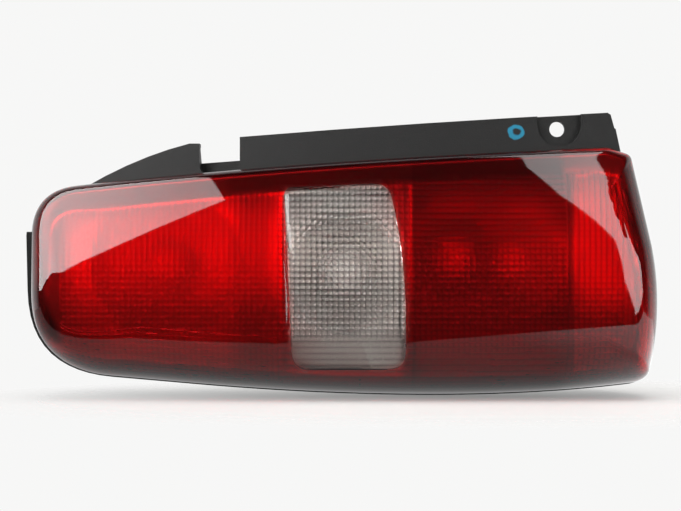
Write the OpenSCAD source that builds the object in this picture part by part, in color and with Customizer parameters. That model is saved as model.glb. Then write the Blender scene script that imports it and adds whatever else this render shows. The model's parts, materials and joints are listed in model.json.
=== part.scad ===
// Tail light cluster: a red lens with a clear reversing window, on a dark moulded housing with a
// fixing flange, a reflector and four bulbs on a carrier that comes out at the back.
// X runs along the lamp to its wide end, Z points up across it, and the lens faces -Y.
// The origin is the centre of the fixing screw hole, on the face that the screw head bears on.

/* [Lens outline] */
// Length of the lens along its seam
lens_len = 378; // [340:1:420]
// Distance from the screw hole to the wide end of the lens
lens_past_screw = 60.5; // [45:0.5:75]
// Distance from the screw hole down to the lens
lens_below_screw = 11.5; // [11:0.5:16]
// Rise of the top edge from the narrow end to the wide end
top_rise = 25.5; // [15:1:32]
// Height of the narrow end
narrow_end_h = 108; // [95:1:125]
// Height of the wide end
wide_end_h = 141; // [125:1:160]
// How far the wide end bows outwards
wide_end_bow = 13.5; // [8:1:22]
// How far the bottom edge bows downwards
bottom_bow = 17.5; // [8:1:22]
// Curve length of the upper corner at the narrow end
upper_corner = 27; // [15:1:32]
// Curve length of the lower corner at the narrow end
lower_corner = 48; // [35:1:52]

/* [Lens section] */
// Wall of the lens
lens_wall = 2.8; // [2:0.2:4]
// How far the lens stands in front of the flange along its top edge
lens_stand = 13; // [8:1:20]
// Extra height of the crown of the lens
lens_crown = 11; // [6:1:16]
// How much the lens falls back towards its two ends
end_fall = 6; // [2:1:10]
// How far the lower seam lies behind the upper one
seam_drop = 26; // [15:1:28]
// Width of the rolled shoulder along the bottom
roll_bottom = 31; // [22:1:38]
// Width of the rolled shoulder at the wide end
roll_wide = 17; // [12:1:24]
// Width of the rolled shoulder at the narrow end
roll_narrow = 13; // [8:1:18]
// Width of the rounded edge along the top
roll_top = 4; // [3:0.5:7]

/* [Clear window] */
// Left side of the clear window, from the screw hole
window_left = 163; // [155:1:168]
// Width of the clear window at its top
window_top_w = 61; // [50:1:66]
// Width of the clear window at its bottom
window_foot_w = 66; // [58:1:70]
// Height of the clear window
window_h = 109; // [90:1:112]
// Distance from the screw hole down to the clear window
window_below_screw = 33; // [31:1:40]
// Corner radius of the clear window
window_corner = 10; // [6:1:14]

/* [Housing] */
// Wall of the housing
wall = 3; // [2.4:0.2:4]
// Plane of the housing's back, behind the screw seat
back_y = 50; // [46:1:60]
// How much narrower the housing is at its back, on each side
draft = 14; // [10:1:18]
// Thickness of the lens seam
seam_gap = 0.3; // [0.2:0.1:0.5]
// How far the rim strip stands out at the narrow end
strip_narrow = 4.2; // [2:0.2:6]
// How far the rim strip stands out along the bottom
strip_bottom = 1; // [0.6:0.2:2]
// Depth of the rim strip
strip_depth = 6; // [4:1:10]

/* [Flange] */
// Thickness of the flange
flange_t = 3; // [2.4:0.2:4]
// Height of the flange above the screw hole at its free end
flange_over_screw = 9.5; // [8:0.5:14]
// Distance from the screw hole to the flange's wide end
flange_past_screw = 33; // [25:1:40]
// Width of the notch
notch_w = 24; // [16:1:30]
// Distance from the screw hole to the notch's near side
notch_from_screw = 190; // [175:1:205]
// How far the wall in the notch lies behind the flange
notch_depth = 13; // [8:1:18]
// Radius of the screw hole
screw_hole_r = 4.6; // [3:0.1:5.5]
// Radius of the screw pocket
pocket_r = 13; // [10:0.5:14]
// Depth of the screw pocket
pocket_depth = 5; // [3:0.5:8]

/* [Reflector] */
// Wall of the reflector
reflector_wall = 1.8; // [1.4:0.2:2.4]
// Plane of the reflector's plate, behind the screw seat
plate_y = 4; // [0:1:8]
// Plane of the ledge that the reflector sits on
ledge_y = 26; // [24:1:30]
// Gap between the reflector and the lens
reflector_gap = 1; // [0.4:0.1:1.2]
// Boundary between the stop field and the field at the wide end
end_field_x = 6; // [2:1:12]

/* [Bulbs] */
// Radius of the large bulbs' glass
bulb_r = 13.2; // [12:0.1:13.5]
// Radius of the small bulb's glass
small_bulb_r = 9.4; // [8:0.1:10]
// Radius of a bulb's cap
cap_r = 7.5; // [7:0.1:7.8]
// Length of a bulb's cap
cap_len = 17; // [14:1:20]
// Gap between a cap and its socket
socket_gap = 0.3; // [0.2:0.1:0.5]
// Gap between a bulb's glass and the reflector's hole
glass_gap = 2.6; // [1.5:0.1:4]

/* [Carrier] */
// Thickness of the carrier plate
carrier_t = 3; // [2.4:0.2:4]
// Height of the carrier opening
opening_h = 45; // [38:1:48]
// Thickness of the carrier gasket
carrier_seal_t = 1.6; // [1.2:0.2:2.4]
// Height of the collar around the carrier opening
collar_h = 4; // [3:1:6]
// Thickness of the contact strips
strip_t = 0.6; // [0.4:0.1:1]
// Width of the connector's socket
connector_w = 34; // [30:1:38]
// Height of the connector's socket
connector_h = 17; // [15:1:20]
// Depth of the connector's socket
connector_depth = 19; // [16:1:24]

/* [Fixing] */
// Radius of the locating pegs
peg_r = 4; // [3:0.5:5]
// Length of a peg's straight shank
peg_len = 16; // [12:1:22]
// Thickness of the foam gasket
body_seal_t = 7; // [5:1:10]
// Width of the foam gasket
body_seal_w = 6; // [5:1:8]

/* [Hidden] */
$fn = 64;

dark_grey = [0.26, 0.26, 0.24];
lens_colour = [0.72, 0.03, 0.04, 0.8];
window_colour = [0.92, 0.9, 0.88, 0.6];
silver = [0.8, 0.8, 0.82];
foam = [0.12, 0.12, 0.12];
brass = [0.75, 0.62, 0.35];
glass = [0.95, 0.95, 0.97, 0.5];
steel = [0.6, 0.6, 0.62];
carrier_grey = [0.78, 0.78, 0.74];

eps = 0.01;
overlap = 1.5;

// Outlines

function unit(v) = v / norm(v);
function wrap(i, n) = (i + n) % n;
function curve(a, b, c, t) = (1 - t) * (1 - t) * a + 2 * t * (1 - t) * b + t * t * c;

// A closed outline with curved corners. Each corner is [point, length before, length after, steps].
function outline(corners) = let (n = len(corners)) [
    for (i = [0:n - 1])
        let (
            c = corners[i],
            v = c[0],
            start = v + c[1] * unit(corners[wrap(i - 1, n)][0] - v),
            end = v + c[2] * unit(corners[wrap(i + 1, n)][0] - v)
        )
        for (k = [0:c[3]]) curve(start, v, end, k / c[3])
];

lens_x1 = lens_past_screw;
lens_x0 = lens_x1 - lens_len;
top_wide_z = -lens_below_screw;
top_narrow_z = top_wide_z - top_rise;
foot_narrow_z = top_narrow_z - narrow_end_h;
foot_wide_z = top_wide_z - wide_end_h;

// The wide end's upper corner is cut off at a slant.
slant_x = 31;
slant_w = 13.5;
slant_h = 4.5;
top_mid = [lens_x0 + 0.45 * lens_len, top_wide_z - 0.28 * top_rise];
corner_narrow_top = [lens_x0 + 4.5, top_narrow_z];
corner_slant = [lens_x1 - slant_x, top_wide_z];
corner_wide_top = [lens_x1 - slant_x + slant_w, top_wide_z - slant_h];
corner_wide_mid = [lens_x1 + 4.5, top_wide_z - 0.68 * wide_end_h];
corner_wide_foot = [lens_x1 - wide_end_bow + 9, foot_wide_z];
foot_mid = [lens_x0 + 0.66 * lens_len, foot_wide_z - bottom_bow + 3];
corner_narrow_foot = [lens_x0, foot_narrow_z];

seam = outline([
    [corner_narrow_top, upper_corner, upper_corner, 8],
    [top_mid, norm(top_mid - corner_narrow_top) - upper_corner - 9, norm(top_mid - corner_slant) - 12, 18],
    [corner_slant, 3, 3, 2],
    [corner_wide_top, 3, 3, 2],
    [corner_wide_mid, 38, 36, 10],
    [corner_wide_foot, 7, 9, 4],
    [foot_mid, norm(foot_mid - corner_wide_foot) - 14, 158, 18],
    [corner_narrow_foot, lower_corner, lower_corner, 12]
]);
count = len(seam);
centre = [lens_x0 + 0.53 * lens_len, (top_narrow_z + foot_wide_z) / 2];

// Outward direction at each point of the seam.
facing = [
    for (i = [0:count - 1])
        let (d = seam[wrap(i + 1, count)] - seam[wrap(i - 1, count)])
        unit([-d[1], d[0]])
];

// One value for each side, blended round the corners: [top, bottom, wide end, narrow end].
function by_side(i, v) = let (n = facing[i])
    n[1] * n[1] * (n[1] > 0 ? v[0] : v[1]) + n[0] * n[0] * (n[0] > 0 ? v[2] : v[3]);

// A line along the middle of the lens. Each point of the seam has its own place on it.
spine_in = 58;
spine_z0 = (top_narrow_z + foot_narrow_z) / 2;
spine_z1 = (top_wide_z + foot_wide_z) / 2;
function on_spine(p) = let (t = (p[0] - lens_x0) / lens_len)
    [lens_x0 + spine_in + (lens_len - 2 * spine_in) * t, spine_z0 + (spine_z1 - spine_z0) * t];

// A point of the seam moved inwards by the distance d, towards the middle line.
function moved_in(i, d) = let (p = seam[i], s = on_spine(p))
    p + (s - p) * d / ((p - s) * facing[i]);
function ring(v) = [for (i = [0:count - 1]) moved_in(i, by_side(i, v))];
function even(d) = [d, d, d, d];

// The middles of an outline's sides.
function between(list) = [for (i = [0:count - 1]) (list[i] + list[wrap(i + 1, count)]) / 2];

function smooth(t) = let (u = max(0, min(1, t))) u * u * (3 - 2 * u);

// The seam slopes back from the top edge to the bottom edge.
flange_y = -pocket_depth;
seam_top_y = flange_y - seam_gap;
function seam_y(z) = seam_top_y + seam_drop * smooth((top_narrow_z + 2 - z) / (narrow_end_h + 8));

// The front face is crowned along and across.
crown_z = (top_wide_z + foot_wide_z) / 2 - 2;
face_y = flange_y - lens_stand - lens_crown;
function front_y(p) = let (
    across = (p[1] - crown_z) / ((top_wide_z - foot_wide_z) / 2),
    along = (p[0] - centre[0]) / (lens_len / 2)
) face_y + lens_crown * across * across * (across > 0 ? 1 : 0.45) + end_fall * along * along;

rolls = [roll_top, roll_bottom, roll_wide, roll_narrow];
roundness = [2.6, 2, 2.1, 2.2];
function roll_share(u, p) = pow(1 - pow(1 - u, p), 1 / p);

// A ring of the lens surface at the share u of its rolled edge, moved in by the distance t.
function edge_ring(u, t) = [
    for (i = [0:count - 1])
        let (
            width = by_side(i, rolls),
            q = moved_in(i, t + width * u),
            from = seam_y(seam[i][1]),
            to = front_y(moved_in(i, width * u)),
            y = from + (to - from) * roll_share(u, by_side(i, roundness))
        )
        [q[0], y + t * roll_share(u, 2), q[1]]
];

// A ring of the lens surface at the share s of the way from the rolled edge to the centre.
function face_ring(s, t) = [
    for (i = [0:count - 1])
        let (rim = moved_in(i, t + by_side(i, rolls)), q = rim + (centre - rim) * s)
        [q[0], front_y(q) + t, q[1]]
];
edge_steps = [0, 0.04, 0.15, 0.32, 0.52, 0.74, 1];
face_steps = [0.1, 0.24, 0.4, 0.58, 0.78];
function lens_rings(t) = concat(
    [for (u = edge_steps) edge_ring(u, t)],
    [for (s = face_steps) face_ring(s, t)]
);
function reversed(list) = [for (i = [len(list) - 1:-1:0]) list[i]];

// A closed skin over rings of equally many points, with a tip beyond its first and last ring.
module skin(rings, first_tip, last_tip) {
    n = len(rings[0]);
    m = len(rings);
    points = concat([for (r = rings) each r], [first_tip, last_tip]);
    sides = [
        for (j = [0:m - 2], i = [0:n - 1])
            let (k = wrap(i + 1, n), a = j * n + i, b = j * n + k, c = a + n, d = b + n)
            each [[a, b, d], [a, d, c]]
    ];
    tips = [
        for (i = [0:n - 1])
            let (k = wrap(i + 1, n))
            each [[n * m, k, i], [n * m + 1, (m - 1) * n + i, (m - 1) * n + k]]
    ];
    polyhedron(points = points, faces = concat(sides, tips), convexity = 6);
}

module lens_shell() {
    skin(
        concat(reversed(lens_rings(lens_wall)), lens_rings(0)),
        [centre[0], front_y(centre) + lens_wall, centre[1]],
        [centre[0], front_y(centre), centre[1]]
    );
}

// A flat shape in the X and Z plane, drawn out from y0 to y1.
module slab(y0, y1) {
    translate([0, y1, 0]) rotate([90, 0, 0]) linear_extrude(height = y1 - y0) children();
}

// A profile turned about an axis along Y through the point p. Its height runs towards the lens.
module turned(p, y) {
    translate([p[0], y, p[1]]) rotate([90, 0, 0]) rotate_extrude() children();
}

module rod(p, r, y0, y1) {
    translate([p[0], y1, p[1]]) rotate([90, 0, 0]) cylinder(r = r, h = y1 - y0);
}

module block(x0, x1, y0, y1, z0, z1) {
    translate([x0, y0, z0]) cube([x1 - x0, y1 - y0, z1 - z0]);
}

// Lens

window_foot_z = -window_below_screw - window_h;
window_foot_x = -window_left + 5;
window = outline([
    [[-window_left, -window_below_screw - 3], 5, 5, 4],
    [[-window_left + window_top_w, -window_below_screw], window_corner, window_corner, 6],
    [[window_foot_x + window_foot_w + 1, -window_below_screw - 0.45 * window_h], 38, 46, 8],
    [[window_foot_x + window_foot_w, window_foot_z], window_corner, window_corner, 6],
    [[window_foot_x, window_foot_z], window_corner, window_corner, 6]
]);
front_limit = face_y - 20;
rear_limit = back_y + 60;

module lens_red() {
    color(lens_colour) difference() {
        lens_shell();
        slab(front_limit, back_y) polygon(window);
    }
}

module lens_clear() {
    color(window_colour) intersection() {
        lens_shell();
        slab(front_limit, back_y) polygon(window);
    }
}

// Housing

// The rings that make the bowl. The first two follow the seam, and the others lie in a plane.
function rim_ring(d, y) = [
    for (i = [0:count - 1]) let (q = moved_in(i, d)) [q[0], seam_y(seam[i][1]) + seam_gap + y, q[1]]
];
function level_ring(d, y) = [for (q = ring(even(d))) [q[0], y, q[1]]];
rim_h = 4;
rim_taper = 0.6;
side_y = back_y - 10;
side_in = draft - 4;

// How far the bowl's outer wall has moved in at the depth y.
function wall_in(i, y) = let (y0 = seam_y(seam[i][1]) + seam_gap + rim_h)
    rim_taper + (side_in - rim_taper) * (y - y0) / (side_y - y0);

// The floor of the bowl is a plate a little thicker than the rest, within the gasket's seat.
floor_in = 27;
floor_step = 0.4;
module bowl() {
    outer = [
        rim_ring(0, 0),
        rim_ring(rim_taper, rim_h),
        level_ring(side_in, side_y),
        level_ring(side_in + 1.5, side_y + 5),
        level_ring(side_in + 4, side_y + 8.5),
        level_ring(side_in + 8, back_y),
        level_ring(floor_in + 3, back_y)
    ];
    inner = [
        rim_ring(wall, 0),
        rim_ring(wall + rim_taper, rim_h),
        level_ring(side_in + wall, side_y),
        level_ring(side_in + wall + 1.5, side_y + 4),
        level_ring(side_in + wall + 5, back_y - wall),
        level_ring(floor_in + 3, back_y - wall)
    ];
    band(concat(reversed(outer), inner));
    slab(back_y - wall - floor_step, back_y + floor_step) polygon(between(ring(even(floor_in))));
}

// A closed band over rings, where the last ring joins the first.
module band(rings) {
    n = len(rings[0]);
    m = len(rings);
    polyhedron(
        points = [for (r = rings) each r],
        faces = [
            for (j = [0:m - 1], i = [0:n - 1])
                let (k = wrap(i + 1, n), a = j * n + i, b = j * n + k, c = wrap(j + 1, m) * n)
                each [[a, b, c + k], [a, c + k, c + i]]
        ],
        convexity = 6
    );
}

// A strip of the rim stands out past the lens round the narrow end and along the bottom.
// Elsewhere its band stays inside the wall of the bowl.
strip_top_z = top_narrow_z - 24.5;
strip_in = 2.2;
strip_root_in = 2.7;
strip_back = 0.4;
strip_sides = [-strip_in, strip_bottom, -strip_in, strip_narrow];
module rim_strip() {
    inside = [for (i = [0:count - 1]) moved_in(i, strip_root_in)];
    outside = [
        for (i = [0:count - 1])
            let (out = by_side(i, strip_sides))
            out > 0 ? seam[i] + facing[i] * out : moved_in(i, min(strip_in, -out))
    ];
    y = [for (p = seam) seam_y(p[1]) + seam_gap + strip_back];
    difference() {
        band([
            [for (i = [0:count - 1]) [inside[i][0], y[i], inside[i][1]]],
            [for (i = [0:count - 1]) [inside[i][0], y[i] + strip_depth, inside[i][1]]],
            [for (i = [0:count - 1]) [outside[i][0], y[i] + strip_depth, outside[i][1]]],
            [for (i = [0:count - 1]) [outside[i][0], y[i], outside[i][1]]]
        ]);
        block(lens_x0 - 30, lens_x1 + 30, front_limit, rear_limit, strip_top_z, top_wide_z + 20);
    }
}

// Flange
function top_z(x) = lookup(x, [for (i = [0:count - 1]) if (facing[i][1] > 0.5) seam[i]]);
notch_x1 = -notch_from_screw;
notch_x0 = notch_x1 - notch_w;
ear_x0 = lens_x0 + 35;
ear_h = 17.8;
notch_side_h = 19.6;
bend_up = 4.5;
flange_back_y = flange_y + flange_t;
narrow_ear_top = [notch_x0 - 6, top_z(notch_x0) + ear_h];
narrow_ear = concat(
    [for (t = [0:0.2:1]) curve(
        [ear_x0, top_z(ear_x0) - overlap],
        [(ear_x0 + narrow_ear_top[0]) / 2, (top_z(ear_x0) + narrow_ear_top[1]) / 2 + bend_up],
        narrow_ear_top, t
    )],
    [
        [notch_x0, narrow_ear_top[1]],
        [notch_x0, top_z(notch_x0) - overlap - 1],
        [notch_x0, top_z(notch_x0) - 20]
    ]
);
wide_ear_start = [notch_x1, top_z(notch_x1) + notch_side_h];
wide_ear_end = [flange_past_screw - 3.5, flange_over_screw];
wide_ear = concat(
    [[notch_x1, top_z(notch_x1) - 20]],
    [for (t = [0:0.125:1]) curve(
        wide_ear_start,
        [(wide_ear_start[0] + wide_ear_end[0]) / 2, (wide_ear_start[1] + wide_ear_end[1]) / 2 + 0.4 * bend_up],
        wide_ear_end, t
    )],
    [
        [wide_ear_end[0] + 1.8, flange_over_screw - 1.2],
        [flange_past_screw + 0.5, 0.3],
        [flange_past_screw + 1.3, -0.2],
        [flange_past_screw + 5, top_wide_z - 6]
    ]
);

edge_rib_w = 2.2;
edge_rib_y = 4;
module ear(shape) {
    difference() {
        union() {
            slab(flange_y, flange_back_y) polygon(shape);
            difference() {
                slab(flange_y, edge_rib_y) polygon(shape);
                translate([0, 0, -edge_rib_w]) slab(flange_y - 1, edge_rib_y + 1) polygon(shape);
            }
        }
        slab(flange_y - 1, edge_rib_y + 1) polygon(ring(even(overlap)));
    }
}

// The notch has a wall on each side that runs back, and a low wall behind it.
notch_wall_t = 2;
notch_back_y = flange_y + notch_depth;
low_wall_h = 6.5;
foot_r = 4;
module notch_side(x, z, h) {
    translate([x, 0, 0]) rotate([90, 0, 90]) linear_extrude(height = notch_wall_t) polygon([
        [flange_y, z - 4],
        [notch_back_y + notch_wall_t, z - 4],
        [notch_back_y + notch_wall_t, z + low_wall_h],
        [flange_back_y + 1, z + h],
        [flange_y, z + h]
    ]);
}
module notch_walls() {
    notch_side(notch_x0 - notch_wall_t, top_z(notch_x0), ear_h);
    notch_side(notch_x1, top_z(notch_x1), notch_side_h);
    slab(notch_back_y, notch_back_y + notch_wall_t) polygon([
        [notch_x0 - notch_wall_t, top_z(notch_x0) - 5.5],
        [notch_x1 + notch_wall_t, top_z(notch_x1) - 5.5],
        [notch_x1 + notch_wall_t, top_z(notch_x1) + low_wall_h],
        [notch_x0 - notch_wall_t, top_z(notch_x0) + low_wall_h]
    ]);
    for (side = [[notch_x0, 1], [notch_x1, -1]])
        difference() {
            block(min(side[0], side[0] + side[1] * foot_r), max(side[0], side[0] + side[1] * foot_r),
                flange_y, notch_back_y + 1, top_z(side[0]) - 3, top_z(side[0]) + foot_r);
            rod([side[0] + side[1] * foot_r, top_z(side[0]) + foot_r], foot_r, flange_y - 1, notch_back_y + 2);
        }
}

rib_t = 2;
rib_y = 18;
rib_xs = [-244, -228, -176, -141, -106, -71, -36, 24];
module flange_rib(x) {
    z = top_z(x);
    h = x < notch_x0 ? ear_h * (x - ear_x0) / (notch_x0 - ear_x0) + 1 : notch_side_h;
    translate([x, 0, 0]) rotate([90, 0, 90]) linear_extrude(height = rib_t) polygon([
        [flange_back_y - 1, z + h - 3],
        [flange_back_y - 1, z - 2],
        [rib_y, z - 6.5],
        [rib_y, z - 4]
    ]);
}

pocket_c = [0.5, 2.5];
pocket_wall = 2;
pocket_floor_t = 3;
module pocket_shape(r, y0, y1) {
    rod(pocket_c, r, y0, y1);
    block(pocket_c[0] - r, pocket_c[0] + r, y0, y1, pocket_c[1], flange_over_screw + 10);
}
module pocket_tub() {
    intersection() {
        pocket_shape(pocket_r + pocket_wall, flange_y, pocket_floor_t);
        slab(flange_y, pocket_floor_t) polygon(wide_ear);
    }
}

// Back of the housing

carrier_x0 = -262;
carrier_x1 = 4;
carrier_z = -84.5;
opening_corner = 8;
collar_w = 3;
collar_y = back_y + collar_h;

// A plate with round corners in the X and Z plane, larger than the carrier opening by grow.
module opening_plate(grow, y0, y1) {
    r = opening_corner + grow;
    x0 = carrier_x0 - grow;
    x1 = carrier_x1 + grow;
    z0 = carrier_z - opening_h / 2 - grow;
    z1 = carrier_z + opening_h / 2 + grow;
    block(x0 + r, x1 - r, y0, y1, z0, z1);
    block(x0, x1, y0, y1, z0 + r, z1 - r);
    for (x = [x0 + r, x1 - r], z = [z0 + r, z1 - r]) rod([x, z], r, y0, y1);
}

peg_places = [[-281, -86], [23, -100]];
peg_boss_r = 8;
peg_boss_h = 3;
peg_root_r = 3;
peg_root_gap = 0.1;
peg_flange_t = 2;

plate_rear_y = collar_y + carrier_seal_t + carrier_t;
hook_gap = 0.4;
hook_t = 3;
hook_w = 12;
hook_nose = 2.5;
plate_grow = collar_w + 1;
module hook(x, out) {
    inner = x + out * (plate_grow + hook_gap);
    tip = inner - out * hook_nose;
    outer = inner + out * hook_t;
    nose_y = plate_rear_y + hook_gap;
    block(min(inner, outer), max(inner, outer), back_y - 1, nose_y + hook_t,
        carrier_z - hook_w / 2, carrier_z + hook_w / 2);
    block(min(tip, outer), max(tip, outer), nose_y, nose_y + hook_t,
        carrier_z - hook_w / 2, carrier_z + hook_w / 2);
}

ledge_t = 3;
reflector_fit = 0.8;
reflector_sides = [16, 14, 13, 13];
module ledge() {
    difference() {
        slab(ledge_y, ledge_y + ledge_t) polygon([
            for (i = [0:count - 1]) moved_in(i, wall_in(i, ledge_y + ledge_t) + 1)
        ]);
        slab(ledge_y - 1, ledge_y + ledge_t + 1) polygon(ring(reflector_sides));
    }
}

module housing() {
    color(dark_grey) difference() {
        union() {
            bowl();
            ledge();
            rim_strip();
            ear(narrow_ear);
            ear(wide_ear);
            notch_walls();
            for (x = rib_xs) flange_rib(x);
            pocket_tub();
            opening_plate(collar_w, back_y - 1, collar_y);
            for (p = peg_places) rod(p, peg_boss_r, back_y - 1, back_y + peg_boss_h);
            hook(carrier_x0, -1);
            hook(carrier_x1, 1);
        }
        pocket_shape(pocket_r, flange_y - 1, 0);
        rod([0, 0], screw_hole_r, -1, pocket_floor_t + 1);
        opening_plate(0, back_y - wall - 1, collar_y + 1);
        for (p = peg_places) rod(p, peg_root_r + peg_root_gap, back_y - wall - 1, back_y + peg_boss_h + 1);
    }
}

// Reflector

// How deep the inner face of the lens lies at the distance d from the seam.
function under_lens(i, d) = let (
    width = by_side(i, rolls),
    u = (d - lens_wall) / width,
    rim_y = seam_y(seam[i][1]),
    to = front_y(moved_in(i, d))
) (u >= 1 ? to : rim_y + (to - rim_y) * roll_share(u, by_side(i, roundness))) + lens_wall + reflector_gap;

// Each lamp is [x, z, dish radius, glass radius].
lamps = [
    [-235, -82, 46, bulb_r],
    [-127, -86, 36, bulb_r],
    [-61, -78, 27, bulb_r],
    [-25, -80, 27, small_bulb_r]
];
dish_foot_y = 36;
partition_x = [-166, -90, end_field_x];

function dish_profile(r, hole, grow) = [
    for (k = [0:8])
        let (s = k / 8, a = r - (r - hole) * s)
        [a + grow, (dish_foot_y - plate_y) * (1 - (r * r - a * a) / (r * r - hole * hole))]
];
module dish(lamp, grow) {
    hole = lamp[3] + glass_gap;
    turned(lamp, dish_foot_y) polygon(concat(
        [[0, dish_foot_y - plate_y], [0, 0]],
        reversed(dish_profile(lamp[2], hole, grow))
    ));
}

// The walls between the fields end just behind the lens.
partition_gap = 1;
partition_steps = 14;
function foot_z(x) = lookup(x, [for (i = [count - 1:-1:0]) if (facing[i][1] < -0.5) seam[i]]);
function under_lens_at(x, z) = let (
    foot = foot_z(x),
    u = (z - foot - lens_wall) / roll_bottom,
    to = front_y([x, z])
) (u >= 1 ? to : seam_y(foot) + (to - seam_y(foot)) * roll_share(u, roundness[1])) + lens_wall + partition_gap;
module partition(x) {
    high = top_z(x) - reflector_sides[0] - 0.5;
    low = foot_z(x) + reflector_sides[1] + 0.5;
    translate([x, 0, 0]) rotate([90, 0, 90]) linear_extrude(height = reflector_wall) polygon(concat(
        [[plate_y + 1, high], [plate_y + 1, low]],
        [for (k = [0:partition_steps])
            let (z = low + (high - low) * k / partition_steps) [under_lens_at(x, z), z]]
    ));
}

module reflector() {
    outer = ring(reflector_sides);
    inner_sides = [for (s = reflector_sides) s + reflector_wall];
    inner = ring(inner_sides);
    front = [for (i = [0:count - 1]) under_lens(i, by_side(i, reflector_sides))];
    color(silver) difference() {
        union() {
            band([
                [for (i = [0:count - 1]) [outer[i][0], front[i], outer[i][1]]],
                [for (i = [0:count - 1]) [inner[i][0], front[i], inner[i][1]]],
                [for (i = [0:count - 1]) [inner[i][0], ledge_y, inner[i][1]]],
                [for (i = [0:count - 1]) [outer[i][0], ledge_y, outer[i][1]]]
            ]);
            for (x = partition_x) partition(x);
            slab(plate_y, plate_y + reflector_wall) polygon(ring([for (s = reflector_sides) s + 0.5]));
            intersection() {
                for (lamp = lamps) dish(lamp, reflector_wall);
                slab(plate_y, dish_foot_y) polygon(ring([for (s = reflector_sides) s + 0.5]));
            }
            difference() {
                slab(ledge_y - 2, ledge_y) polygon([
                    for (i = [0:count - 1]) moved_in(i, wall_in(i, ledge_y) + wall + reflector_fit)
                ]);
                slab(ledge_y - 3, ledge_y + 1) polygon(ring([for (s = reflector_sides) s + 0.5]));
            }
        }
        intersection() {
            for (lamp = lamps) translate([0, -eps, 0]) dish(lamp, 0);
            slab(plate_y - 1, dish_foot_y + 1) polygon(inner);
        }
        for (lamp = lamps) rod(lamp, lamp[3] + glass_gap, dish_foot_y - 3, dish_foot_y + 1);
    }
}

// Bulbs

spring_t = 0.6;
cap_rear_y = plate_rear_y - carrier_t - spring_t;
cap_front_y = cap_rear_y - cap_len;
glass_len = 35;
neck_r = 6.8;

module bulb_glass(lamp, length) {
    r = lamp[3];
    low = -acos(neck_r / r);
    color(glass) turned(lamp, cap_front_y) polygon(concat(
        [[0, 0], [neck_r, 0]],
        [for (k = [0:12]) let (a = low + (90 - low) * k / 12)
            [k == 12 ? 0 : r * cos(a), length - r + r * sin(a)]]
    ));
}

pin_r = 1;
pin_out = 1.2;
pin_up = 9;
module bulb_cap(lamp) {
    color(brass) {
        turned(lamp, cap_rear_y) polygon([
            [0, 0], [2.5, 0], [3, 1], [5.5, 1.4], [cap_r - 0.6, 2.4], [cap_r, 3.4], [cap_r, cap_len], [0, cap_len]
        ]);
        translate([lamp[0] - cap_r - pin_out, cap_rear_y - pin_up, lamp[1]])
            rotate([0, 90, 0]) cylinder(r = pin_r, h = 2 * (cap_r + pin_out));
    }
}

module fog_bulb_glass() { bulb_glass(lamps[0], glass_len); }
module fog_bulb_cap() { bulb_cap(lamps[0]); }
module reverse_bulb_glass() { bulb_glass(lamps[1], glass_len); }
module reverse_bulb_cap() { bulb_cap(lamps[1]); }
module stop_bulb_glass() { bulb_glass(lamps[2], glass_len); }
module stop_bulb_cap() { bulb_cap(lamps[2]); }
module tail_bulb_glass() { bulb_glass(lamps[3], glass_len - 7); }
module tail_bulb_cap() { bulb_cap(lamps[3]); }

// Bulb carrier

socket_wall = 1.7;
socket_front_y = cap_front_y + 0.6;
plate_front_y = plate_rear_y - carrier_t;
grip_w = 16;
grip_h = 9;
module bulb_carrier() {
    socket_r = cap_r + socket_gap + socket_wall;
    slot_h = 2 * pin_r + 0.6;
    color(carrier_grey) difference() {
        union() {
            opening_plate(plate_grow, plate_front_y, plate_rear_y);
            difference() {
                opening_plate(-0.8, plate_front_y - 5, plate_front_y + 1);
                opening_plate(-2.6, plate_front_y - 6, plate_front_y);
            }
            for (lamp = lamps) rod(lamp, socket_r, socket_front_y, plate_front_y + 1);
            for (x = [carrier_x0 + 14, carrier_x1 - 14 - 2])
                block(x, x + 2, plate_rear_y - 1, plate_rear_y + grip_h,
                    carrier_z - grip_w / 2, carrier_z + grip_w / 2);
        }
        for (lamp = lamps) {
            rod(lamp, cap_r + socket_gap, socket_front_y - 1, plate_front_y);
            block(lamp[0] - socket_r - 1, lamp[0] + socket_r + 1, socket_front_y - 1,
                cap_rear_y - pin_up + pin_r + 0.3, lamp[1] - slot_h / 2, lamp[1] + slot_h / 2);
        }
    }
}

module carrier_gasket() {
    color(foam) difference() {
        opening_plate(collar_w - 0.2, collar_y, plate_front_y);
        opening_plate(0.2, collar_y - 1, plate_front_y + 1);
    }
}

body_seal_in = 19;
module body_gasket() {
    color(foam) difference() {
        slab(back_y, back_y + body_seal_t) polygon(ring(even(body_seal_in)));
        slab(back_y - 1, back_y + body_seal_t + 1) polygon(ring(even(body_seal_in + body_seal_w)));
    }
}

module locating_pegs() {
    boss_y = back_y + peg_boss_h;
    shank_y = boss_y + peg_flange_t;
    color(steel) for (p = peg_places) {
        rod(p, peg_root_r, back_y - wall, boss_y + 1);
        rod(p, peg_r + 2.5, boss_y, shank_y);
        rod(p, peg_r, shank_y - 1, shank_y + peg_len);
        translate([p[0], shank_y + peg_len, p[1]]) rotate([-90, 0, 0]) cylinder(r1 = peg_r, r2 = peg_r - 2, h = 4);
    }
}

// Contacts

module contact_springs() {
    color(brass) for (lamp = lamps) {
        block(lamp[0] - 4, lamp[0] + 4, plate_front_y - spring_t / 2, plate_front_y, lamp[1] - 2, lamp[1] + 2);
        rod(lamp, 2.2, plate_front_y - spring_t, plate_front_y - spring_t / 4);
    }
}

// The connector stands on the back of the carrier, between the fog and the reversing bulb.
connector_x = -181;
blade_pitch = 6;
blade_w = 3;
blade_t = 0.8;
blade_len = 11;
blade_count = 5;
shroud_wall = 1.8;
strip_w = 4;
strip_gap = 0.4;
strip_y = plate_rear_y + strip_t;
function blade_x(k) = connector_x + (k - (blade_count - 1) / 2) * blade_pitch;

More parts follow.
